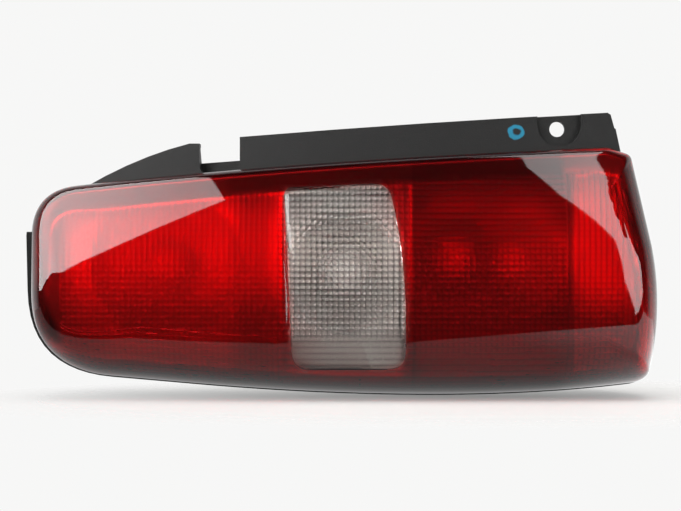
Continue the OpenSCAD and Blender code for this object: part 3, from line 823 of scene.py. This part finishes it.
def plastic(name, colour, rough, grain_scale, grain_depth):
    m, tree, surface = shader(name)
    grain = effect(tree, "grain", Scale=grain_scale)
    darker = [c * 0.86 for c in colour]
    lighter = [min(1, c * 1.12) for c in colour]
    toned = mixed_colour(tree, grain.outputs["Tone"], darker, lighter)
    tree.links.new(toned, surface.inputs["Base Color"])
    uneven = ranged(tree, grain.outputs["Tone"], rough - 0.05, rough + 0.05)
    tree.links.new(uneven, surface.inputs["Roughness"])
    bumped(tree, surface, grain.outputs["Height"], 0.5, grain_depth)
    return m


def metal(name, colour, rough):
    m, tree, surface = shader(name)
    grain = effect(tree, "grain", Scale=260.0)
    toned = mixed_colour(tree, grain.outputs["Tone"], [c * 0.8 for c in colour], colour)
    tree.links.new(toned, surface.inputs["Base Color"])
    uneven = ranged(tree, grain.outputs["Tone"], rough - 0.06, rough + 0.08)
    tree.links.new(uneven, surface.inputs["Roughness"])
    surface.inputs["Metallic"].default_value = 1
    return m


# The stop field: where it begins, a place past its end, and its border to the end field along X on the
# lens and on the coating behind it, at the height of the lens's middle. Then the lean of that border.
STOP_FROM, STOP_PAST = -0.0885, 0.03
LENS_BORDER, COATING_BORDER = (0.0028, 0.004), (0.0105, 0.0125)
MIDDLE_Z, BORDER_LEAN = -0.0757, 0.065


def past_border(tree, low, high, border):
    """Goes from low to high across the slanted border of the stop field and the end field."""
    at = axes(tree)
    lean = times(tree, maths(tree, "ADD", at["Z"], -MIDDLE_Z), BORDER_LEAN)
    return ranged(tree, maths(tree, "ADD", at["X"], lean), low, high, *border)


def stop_field(tree, softness, border):
    return times(tree, field(tree, STOP_FROM, STOP_PAST, softness), past_border(tree, 1, 0, border))


def mask_of(tree, label):
    n = tree.nodes.new("ShaderNodeAttribute")
    n.attribute_name = label
    return n.outputs["Fac"]


# painted shade: the colour that each valley between the pillows is darkened towards
VALLEY_SHADE_COLOUR = (0.06, 0.05, 0.045)
# painted shade on the rim, under the top edge and low on the narrow end: its colour and how far it goes
RIM_SHADE_COLOUR, RIM_SHARE = (0.02, 0.001, 0.001), 0.92
# the fog field along X, where the painted shade in each valley is lighter
FOG_FIELD, FOG_VALLEY_SHADE = (-0.32, -0.166), 0.36
POLISHED = 0.02
ACRYLIC_IOR, GLASS_IOR = 1.49, 1.5


def lens_finish(tree, surface, colour, valley_shades, rough, joint_tint_and_highlight, joint_share):
    """Acrylic: polished outside, optics inside, darkened in each valley between the pillows as painted
    shade.
    """
    # how strong the painted shade in each valley is, lighter in the fog field
    depth = ranged(tree, field(tree, *FOG_FIELD, 0.002), valley_shades, FOG_VALLEY_SHADE)
    dark = tree.nodes.new("ShaderNodeMix")
    dark.data_type = "RGBA"
    dark.blend_type = "MULTIPLY"
    tree.links.new(times(tree, mask_of(tree, "optic_valley_shade"), depth), dark.inputs[0])
    if hasattr(colour, "is_linked"):
        tree.links.new(colour, dark.inputs[6])
    else:
        dark.inputs[6].default_value = (*colour, 1)
    dark.inputs[7].default_value = (*VALLEY_SHADE_COLOUR, 1)
    # the joint round the window: tinted pink, and on the red lens lightened as a painted highlight
    joint = times(tree, mask_of(tree, "window_frame"), joint_share)
    framed = mixed_colour(tree, joint, dark.outputs[2], joint_tint_and_highlight)
    # painted shade on the rim, under the top edge and low on the narrow end
    rim = times(tree, mask_of(tree, "rim_shade"), RIM_SHARE)
    tree.links.new(mixed_colour(tree, rim, framed, RIM_SHADE_COLOUR), surface.inputs["Base Color"])
    tree.links.new(ranged(tree, mask_of(tree, "inner_face"), POLISHED, rough), surface.inputs["Roughness"])
    surface.inputs["Transmission Weight"].default_value = 1
    surface.inputs["IOR"].default_value = ACRYLIC_IOR


def lens_red_material(colours):
    m, tree, surface = shader("red_acrylic")
    stop = stop_field(tree, 0.0012, LENS_BORDER)
    # painted shade: a darker red over the stop field, except for a spot of painted light in front of the
    # right dish
    stop_shade = times(tree, stop, rest_of(tree, spot(tree, (-0.019, 0, -0.075), (40, 0, 28))))
    colour = mixed_colour(tree, stop_shade, colours.red, colours.stop_shade_red)
    lens_finish(
        tree, surface, colour,
        valley_shades=0.6, rough=0.3, joint_tint_and_highlight=(1, 0.16, 0.14), joint_share=0.75,
    )
    return m


def lens_clear_material(colours):
    m, tree, surface = shader("clear_acrylic")
    lens_finish(
        tree, surface, colours.clear,
        valley_shades=0.72, rough=0.12, joint_tint_and_highlight=(1, 0.5, 0.45), joint_share=0.7,
    )
    return m


# On the coating: the two spots of painted light, one on each dish, as (centre, scale), and the field behind
# the window along X
LEFT_DISH_LIGHT, RIGHT_DISH_LIGHT = ((-0.061, 0, -0.078), (40, 0, 24)), ((-0.02, 0, -0.077), (38, 0, 24))
WINDOW_FIELD = (-0.164, -0.0905)


def reflector_material():
    """Vacuum coated moulding: bright, with painted shade behind the stop field, where a spot of painted
    light shines on each dish, and painted shade towards top, foot and ends.
    """
    m, tree, surface = shader("bright_coating")
    at = axes(tree)
    x, z = at["X"], at["Z"]
    grain = effect(tree, "grain", Scale=120.0)

    # the coating: bright, with painted shade behind the stop field, and painted light on each dish and near
    # the foot
    stop = stop_field(tree, 0.004, COATING_BORDER)
    dish_light = maths(tree, "MAXIMUM", spot(tree, *LEFT_DISH_LIGHT), spot(tree, *RIGHT_DISH_LIGHT))
    bright = maths(tree, "MAXIMUM", rest_of(tree, stop), dish_light)
    bright = maths(tree, "MAXIMUM", bright, ranged(tree, z, 0, 1, -0.114, -0.126))
    dim = mixed_colour(tree, grain.outputs["Tone"], (0.46, 0.46, 0.46), (0.56, 0.55, 0.54))
    full = mixed_colour(tree, bright, dim, (0.97, 0.97, 0.95))

    # painted shade towards the top, apart from the end field
    raised = maths(tree, "ADD", z, ranged(tree, x, 0.014, 0, -0.27, -0.155))
    upper = ranged(tree, raised, 0.03, 1, -0.028, -0.042, "SMOOTHSTEP")
    upper = maths(tree, "MAXIMUM", upper, past_border(tree, 0, 0.8, COATING_BORDER))

    # painted shade towards the foot, later so in the end field and behind the window
    window = field(tree, *WINDOW_FIELD, 0.003)
    end_lower = ranged(tree, z, 1, 0.14, -0.09, -0.118, "SMOOTHSTEP")
    lower = ranged(tree, z, 1, 0.14, -0.074, -0.118, "SMOOTHSTEP")
    lower = maths(tree, "MAXIMUM", lower, times(tree, past_border(tree, 0, 1, COATING_BORDER), end_lower))
    window_lower = times(tree, window, ranged(tree, z, 0.45, 0.24, -0.112, -0.124))
    lower = maths(tree, "MAXIMUM", lower, window_lower)

    # painted shade at the two ends, beside the window, and under the hood over window and stop field
    hooded = maths(tree, "MAXIMUM", window, stop)
    hood = times(tree, hooded, ranged(tree, z, 0, 0.55, -0.068, -0.054))
    flats = times(
        tree,
        past_border(tree, 1, 0.55, COATING_BORDER),
        ranged(tree, x, 0.05, 0.8, -0.301, -0.294),
        ranged(tree, x, 1, 1.25, -0.275, -0.268),
        ranged(tree, field(tree, -0.2, -0.164, 0.012), 1, 0.42),
        ranged(tree, field(tree, -0.0945, -0.0835, 0.002), 1, 0.5),
        rest_of(tree, hood),
    )
    # all the painted light and shade together set how bright the coating is
    level = times(tree, upper, lower, flats)
    tree.links.new(mixed_colour(tree, level, (0.0, 0.0, 0.0), full), surface.inputs["Base Color"])
    surface.inputs["Metallic"].default_value = 1

    # rougher than in the end field
    softer = times(tree, field(tree, -0.3, 0.003, 0.004), 0.18)
    rough = maths(tree, "ADD", ranged(tree, grain.outputs["Tone"], 0.42, 0.54), softer)
    tree.links.new(rough, surface.inputs["Roughness"])
    bumped(tree, surface, grain.outputs["Height"], 0.3, 0.0003)
    return m


# The ink ring: a soft disc and the hole in it, each as (centre, scale, waver of its edge)
INK_DISC = ((-0.0252, -0.005, -0.002), (190, 300, 215), 0.5)
INK_HOLE = ((-0.0248, -0.005, -0.0018), (330, 300, 390), 0.9)


def housing_material(colours):
    """Grained dark plastic with a blue ring of ink on the flange."""
    m = plastic("housing_plastic", colours.housing, 0.5, 1500.0, 0.0002)
    tree = m.node_tree
    surface = tree.nodes["Principled BSDF"]
    surface.inputs["Specular IOR Level"].default_value = 0.3
    plain = surface.inputs["Base Color"].links[0].from_socket
    disc = maths(tree, "MULTIPLY", spot(tree, *INK_DISC), 4.0, True)
    hole = maths(tree, "MULTIPLY", spot(tree, *INK_HOLE), 1.6, True)
    ring = maths(tree, "SUBTRACT", disc, hole, True)
    tree.links.new(mixed_colour(tree, ring, plain, colours.ink), surface.inputs["Base Color"])
    return m


def glass_material(name, through, rough):
    m, tree, surface = shader(name)
    grain = effect(tree, "grain", Scale=300.0)
    toned = mixed_colour(tree, grain.outputs["Tone"], (0.9, 0.9, 0.88), (0.98, 0.98, 0.97))
    tree.links.new(toned, surface.inputs["Base Color"])
    surface.inputs["Transmission Weight"].default_value = through
    surface.inputs["IOR"].default_value = GLASS_IOR
    surface.inputs["Roughness"].default_value = rough
    return m


# Operators

SMOOTH_ANGLE = 30
LEAST_FACES = 1000


class LAMP_OT_lens(bpy.types.Operator):
    """Make the red and the clear shot of the lens, with ribs and pillows on the inner face"""

    bl_idname = "lamp.lens"
    bl_label = "Lens"

    def execute(self, context):
        scene = context.scene
        red, clear = lens_shots(LensForm(scene.lamp_lens, 2), scene.lamp_optics)
        for obj, node, slot, material in (
            (red, "lens_red", "red_acrylic", lens_red_material(scene.lamp_colours)),
            (clear, "lens_clear", "clear_acrylic", lens_clear_material(scene.lamp_colours)),
        ):
            if len(obj.data.polygons) < LEAST_FACES:
                raise RuntimeError(f"{obj.name} came out empty")
            smooth_by(obj, SMOOTH_ANGLE)
            dress(obj, material)
            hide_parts(node)
        return {"FINISHED"}


# How near points are merged and how flat faces are joined in the copies, and the soft edges of the housing
MERGE, FLAT_ANGLE = 0.000002, 0.4
EDGE_WIDTH, EDGE_STEPS, EDGE_ANGLE = 0.0006, 3, 40


class LAMP_OT_mouldings(bpy.types.Operator):
    """Finish the housing, with small soft edges, and the reflector, both with even shading"""

    bl_idname = "lamp.mouldings"
    bl_label = "Housing and reflector"

    def execute(self, context):
        for node, slot, material in (
            ("housing", "housing_plastic", housing_material(context.scene.lamp_colours)),
            ("reflector", "bright_coating", reflector_material()),
        ):
            obj = copy_of(nodes[node], node + "_moulding")
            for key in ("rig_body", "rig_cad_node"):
                if key in obj:
                    del obj[key]
            obj.parent = None
            activate(obj)
            bpy.ops.object.mode_set(mode="EDIT")
            bpy.ops.mesh.select_all(action="SELECT")
            bpy.ops.mesh.remove_doubles(threshold=MERGE)
            bpy.ops.mesh.dissolve_limited(angle_limit=math.radians(FLAT_ANGLE))
            bpy.ops.object.mode_set(mode="OBJECT")
            if node == "housing":
                worn = obj.modifiers.new("soft_edges", "BEVEL")
                worn.width, worn.segments = EDGE_WIDTH, EDGE_STEPS
                worn.angle_limit = math.radians(EDGE_ANGLE)
                bpy.ops.object.modifier_apply(modifier=worn.name)
            smooth_by(obj, SMOOTH_ANGLE)
            modifier = obj.modifiers.new("even_shading", "WEIGHTED_NORMAL")
            modifier.keep_sharp = True
            bpy.ops.object.modifier_apply(modifier=modifier.name)
            dress(obj, material)
            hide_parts(node)
        return {"FINISHED"}


class LAMP_OT_inner_parts(bpy.types.Operator):
    """Finish the carrier, the seals, the bulbs, the pegs and the contacts"""

    bl_idname = "lamp.inner_parts"
    bl_label = "Carrier, seals and contacts"

    def execute(self, context):
        finishes = {
            "carrier_plastic": plastic("carrier_plastic", (0.6, 0.6, 0.56), 0.42, 1300.0, 0.00012),
            "seal_rubber": plastic("seal_rubber", (0.03, 0.03, 0.03), 0.65, 900.0, 0.0001),
            "seal_foam": plastic("seal_foam", (0.035, 0.035, 0.036), 0.9, 700.0, 0.0006),
            "zinc_steel": metal("zinc_steel", (0.62, 0.62, 0.64), 0.32),
            "tinned_steel": metal("tinned_steel", (0.64, 0.63, 0.6), 0.3),
            "brass": metal("brass", (0.78, 0.6, 0.3), 0.28),
            "bulb_glass": glass_material("pearl_glass", 0.35, 0.25),
        }
        dull = glass_material("dull_glass", 0.55, 0.4)
        special = {"reverse_bulb_glass": dull, "fog_bulb_glass": dull}
        for part in frame["record"]["subparts"]:
            if part["material_slot"] in finishes:
                obj = nodes[part["node"]]
                obj.data.materials.clear()
                obj.data.materials.append(special.get(part["node"], finishes[part["material_slot"]]))
        return {"FINISHED"}


# The stage, in metres: what the lights are aimed at, the lights as (name, place, size, power), the bright
# cards behind the camera as outlines in X and Z, and the paper on the floor as an outline in X and Y
AIM = (-0.13, 0.0, -0.08)
SOFTBOXES = (
    ("top_softbox", (-0.13, -0.25, 1.1), (1.1, 0.9), 12),
    ("left_softbox", (-1.15, -1.0, 0.45), (0.7, 0.9), 3),
    ("right_softbox", (0.95, -0.9, 0.75), (0.5, 0.8), 2.5),
)
CARD_Y = -1.0
LEFT_CARD = ((-0.596, -0.102), (-5.0, -0.2), (-5.0, 2.2), (-0.68, 2.2), (-0.358, 0.49), (-0.334, 0.363))
RIGHT_CARD = (
    (0.35, -0.255), (1.4, -0.15), (1.4, 0.07), (0.5, 0.2), (0.36, 0.28),
    (0.335, 0.44), (0.335, 0.7), (0.6, 2.6), (0.16, 2.6), (0.197, 0.623),
    (0.238, 0.403), (0.275, 0.27), (0.293, 0.195), (0.314, 0.096), (0.327, -0.13),
)
PAPER_CARD = (
    (-0.6, 0.3), (-0.6, -0.1), (-0.265, -0.077), (-0.17, -0.124),
    (-0.072, -0.184), (0.122, -0.278), (0.5, -0.3), (0.5, 0.3),
)
FLOOR_SIZE, FLOOR_GAP, PAPER_LIFT = 8, 0.0004, 0.0002
SHADOW_X, SHADOW_SCALE = -0.045, (3.0, 6.5, 0)

# What the world shows: to the camera, to matt surfaces, in reflections of what lies in front and behind,
# and by way of the lens from in front and from aside
BACKGROUND, MATT_LIGHT = (0.93, 0.93, 0.925), (0.5, 0.5, 0.5)
GLOSS_FRONT, GLOSS_BEHIND = (0.04, 0.04, 0.042), (0.93, 0.93, 0.93)
LENS_FRONT, LENS_ASIDE = (1.95, 1.91, 1.84), (0.1, 0.1, 0.1)

CAMERA_PLACE, CAMERA_LENS = (-0.1299, -0.9, -0.0757), 79.3


class LAMP_OT_stage(bpy.types.Operator):
    """Make the pale floor, the soft lights, the surroundings and the camera"""

    bl_idname = "lamp.stage"
    bl_label = "Stage"

    def softbox(self, name, place, size, power):
        light = bpy.data.lights.new(name, "AREA")
        light.shape = "RECTANGLE"
        light.size, light.size_y = size
        light.energy = power
        obj = bpy.data.objects.new(name, light)
        obj.location = place
        obj.rotation_euler = (Vector(AIM) - Vector(place)).to_track_quat("-Z", "Y").to_euler()
        obj.visible_glossy = False
        bpy.context.scene.collection.objects.link(obj)

    def card(self, name, corners, strengths, span, through):
        """A bright sheet seen as a reflection, and where through is set also by way of the lens.

        Its strength goes from the first to the second over a span of X.
        """
        mesh = bpy.data.meshes.new(name)
        mesh.from_pydata(corners, [], [list(range(len(corners)))])
        obj = bpy.data.objects.new(name, mesh)
        bpy.context.scene.collection.objects.link(obj)
        m = bpy.data.materials.new(name)
        m.use_nodes = True
        tree = m.node_tree
        tree.nodes.clear()
        glow = tree.nodes.new("ShaderNodeEmission")
        tree.links.new(ranged(tree, axes(tree)["X"], *strengths, *span), glow.inputs["Strength"])
        out = tree.nodes.new("ShaderNodeOutputMaterial")
        tree.links.new(glow.outputs[0], out.inputs["Surface"])
        mesh.materials.append(m)
        obj.visible_camera = obj.visible_diffuse = obj.visible_shadow = False
        obj.visible_transmission = through
        obj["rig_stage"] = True

    def surroundings(self):
        """A pale background, and light that differs by how a ray came: by camera, gloss or lens."""
        world = bpy.data.worlds.new("studio")
        bpy.context.scene.world = world
        world.use_nodes = True
        tree = world.node_tree
        back = tree.nodes["Background"]
        path = tree.nodes.new("ShaderNodeLightPath")
        where = tree.nodes.new("ShaderNodeTexCoord")
        split = tree.nodes.new("ShaderNodeSeparateXYZ")
        tree.links.new(where.outputs["Generated"], split.inputs[0])
        behind = maths(tree, "MULTIPLY", maths(tree, "ADD", split.outputs["Y"], 0.15), 2.5, True)
        shiny = mixed_colour(tree, behind, GLOSS_FRONT, GLOSS_BEHIND)
        lit = mixed_colour(tree, path.outputs["Is Glossy Ray"], MATT_LIGHT, shiny)
        aside = maths(tree, "MULTIPLY", maths(tree, "ADD", split.outputs["Y"], 0.6), 2.5, True)
        inside = mixed_colour(tree, aside, LENS_FRONT, LENS_ASIDE)
        through = mixed_colour(tree, path.outputs["Is Transmission Ray"], lit, inside)
        colour = mixed_colour(tree, path.outputs["Is Camera Ray"], through, BACKGROUND)
        tree.links.new(colour, back.inputs["Color"])
        back.inputs["Strength"].default_value = 1

    def floor(self, height, pale):
        """The pale floor: near the lamp it takes the shadow, further off it fades into the background."""
        deselect()
        bpy.ops.mesh.primitive_plane_add(size=FLOOR_SIZE, location=(AIM[0], 0, height))
        floor = named("stage_floor")
        settle(floor)
        m, tree, surface = shader("pale_floor")
        grain = effect(tree, "grain", Scale=60.0)
        toned = mixed_colour(tree, grain.outputs["Tone"], [c * 0.985 for c in pale], pale)
        tree.links.new(toned, surface.inputs["Base Color"])
        surface.inputs["Roughness"].default_value = 0.7
        surface.inputs["Specular IOR Level"].default_value = 0.2
        near = spot(tree, (SHADOW_X, 0.0, height), SHADOW_SCALE)
        path = tree.nodes.new("ShaderNodeLightPath")
        gone = times(tree, ranged(tree, near, 1, 0.2), path.outputs["Is Camera Ray"])
        clear = tree.nodes.new("ShaderNodeBsdfTransparent")
        blend = tree.nodes.new("ShaderNodeMixShader")
        tree.links.new(gone, blend.inputs[0])
        tree.links.new(surface.outputs[0], blend.inputs[1])
        tree.links.new(clear.outputs[0], blend.inputs[2])
        tree.links.new(blend.outputs[0], tree.nodes["Material Output"].inputs["Surface"])
        floor.data.materials.append(m)
        floor.visible_glossy = False
        floor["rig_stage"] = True

    def execute(self, context):
        scene = context.scene
        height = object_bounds()[0].z - FLOOR_GAP
        self.floor(height, scene.lamp_colours.floor)
        self.surroundings()
        for name, place, size, power in SOFTBOXES:
            self.softbox(name, place, size, power)
        left = [(x, CARD_Y, z) for x, z in LEFT_CARD]
        right = [(x, CARD_Y, z) for x, z in RIGHT_CARD]
        paper = [(x, y, height + PAPER_LIFT) for x, y in PAPER_CARD]
        self.card("left_card", left, strengths=(10, 5.5), span=(-0.68, -0.4), through=True)
        self.card("right_card", right, strengths=(4.4, 6), span=(0.2, 0.36), through=True)
        self.card("paper_card", paper, strengths=(0.5, 1.7), span=(0.0, 0.12), through=False)
        camera = bpy.data.cameras.new("camera")
        camera.lens = CAMERA_LENS
        camera.clip_start, camera.clip_end = 0.01, 50
        obj = bpy.data.objects.new("camera", camera)
        obj.location = CAMERA_PLACE
        obj.rotation_euler = (math.pi / 2, 0, 0)
        scene.collection.objects.link(obj)
        scene.camera = obj
        scene.view_settings.view_transform = "Standard"
        return {"FINISHED"}


class LAMP_PT_panel(bpy.types.Panel):
    bl_idname = "LAMP_PT_panel"
    bl_label = "Tail light"
    bl_space_type = "VIEW_3D"
    bl_region_type = "UI"
    bl_category = "Tail light"

    def draw(self, context):
        for settings in (context.scene.lamp_lens, context.scene.lamp_optics, context.scene.lamp_colours):
            box = self.layout.box()
            for key in settings.__annotations__:
                box.prop(settings, key)
        for step in STEPS:
            self.layout.operator(step.bl_idname)


STEPS = (LAMP_OT_lens, LAMP_OT_mouldings, LAMP_OT_inner_parts, LAMP_OT_stage)
CLASSES = (LensSizes, OpticSizes, LampColours, *STEPS, LAMP_PT_panel)


def register():
    for cls in CLASSES:
        bpy.utils.register_class(cls)
    bpy.types.Scene.lamp_lens = bpy.props.PointerProperty(type=LensSizes)
    bpy.types.Scene.lamp_optics = bpy.props.PointerProperty(type=OpticSizes)
    bpy.types.Scene.lamp_colours = bpy.props.PointerProperty(type=LampColours)


def unregister():
    for name in ("lamp_lens", "lamp_optics", "lamp_colours"):
        delattr(bpy.types.Scene, name)
    for cls in reversed(CLASSES):
        bpy.utils.unregister_class(cls)


def main():
    register()
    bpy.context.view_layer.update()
    bpy.ops.lamp.lens()
    bpy.ops.lamp.mouldings()
    bpy.ops.lamp.inner_parts()
    bpy.ops.lamp.stage()


if __name__ == "__main__":
    main()
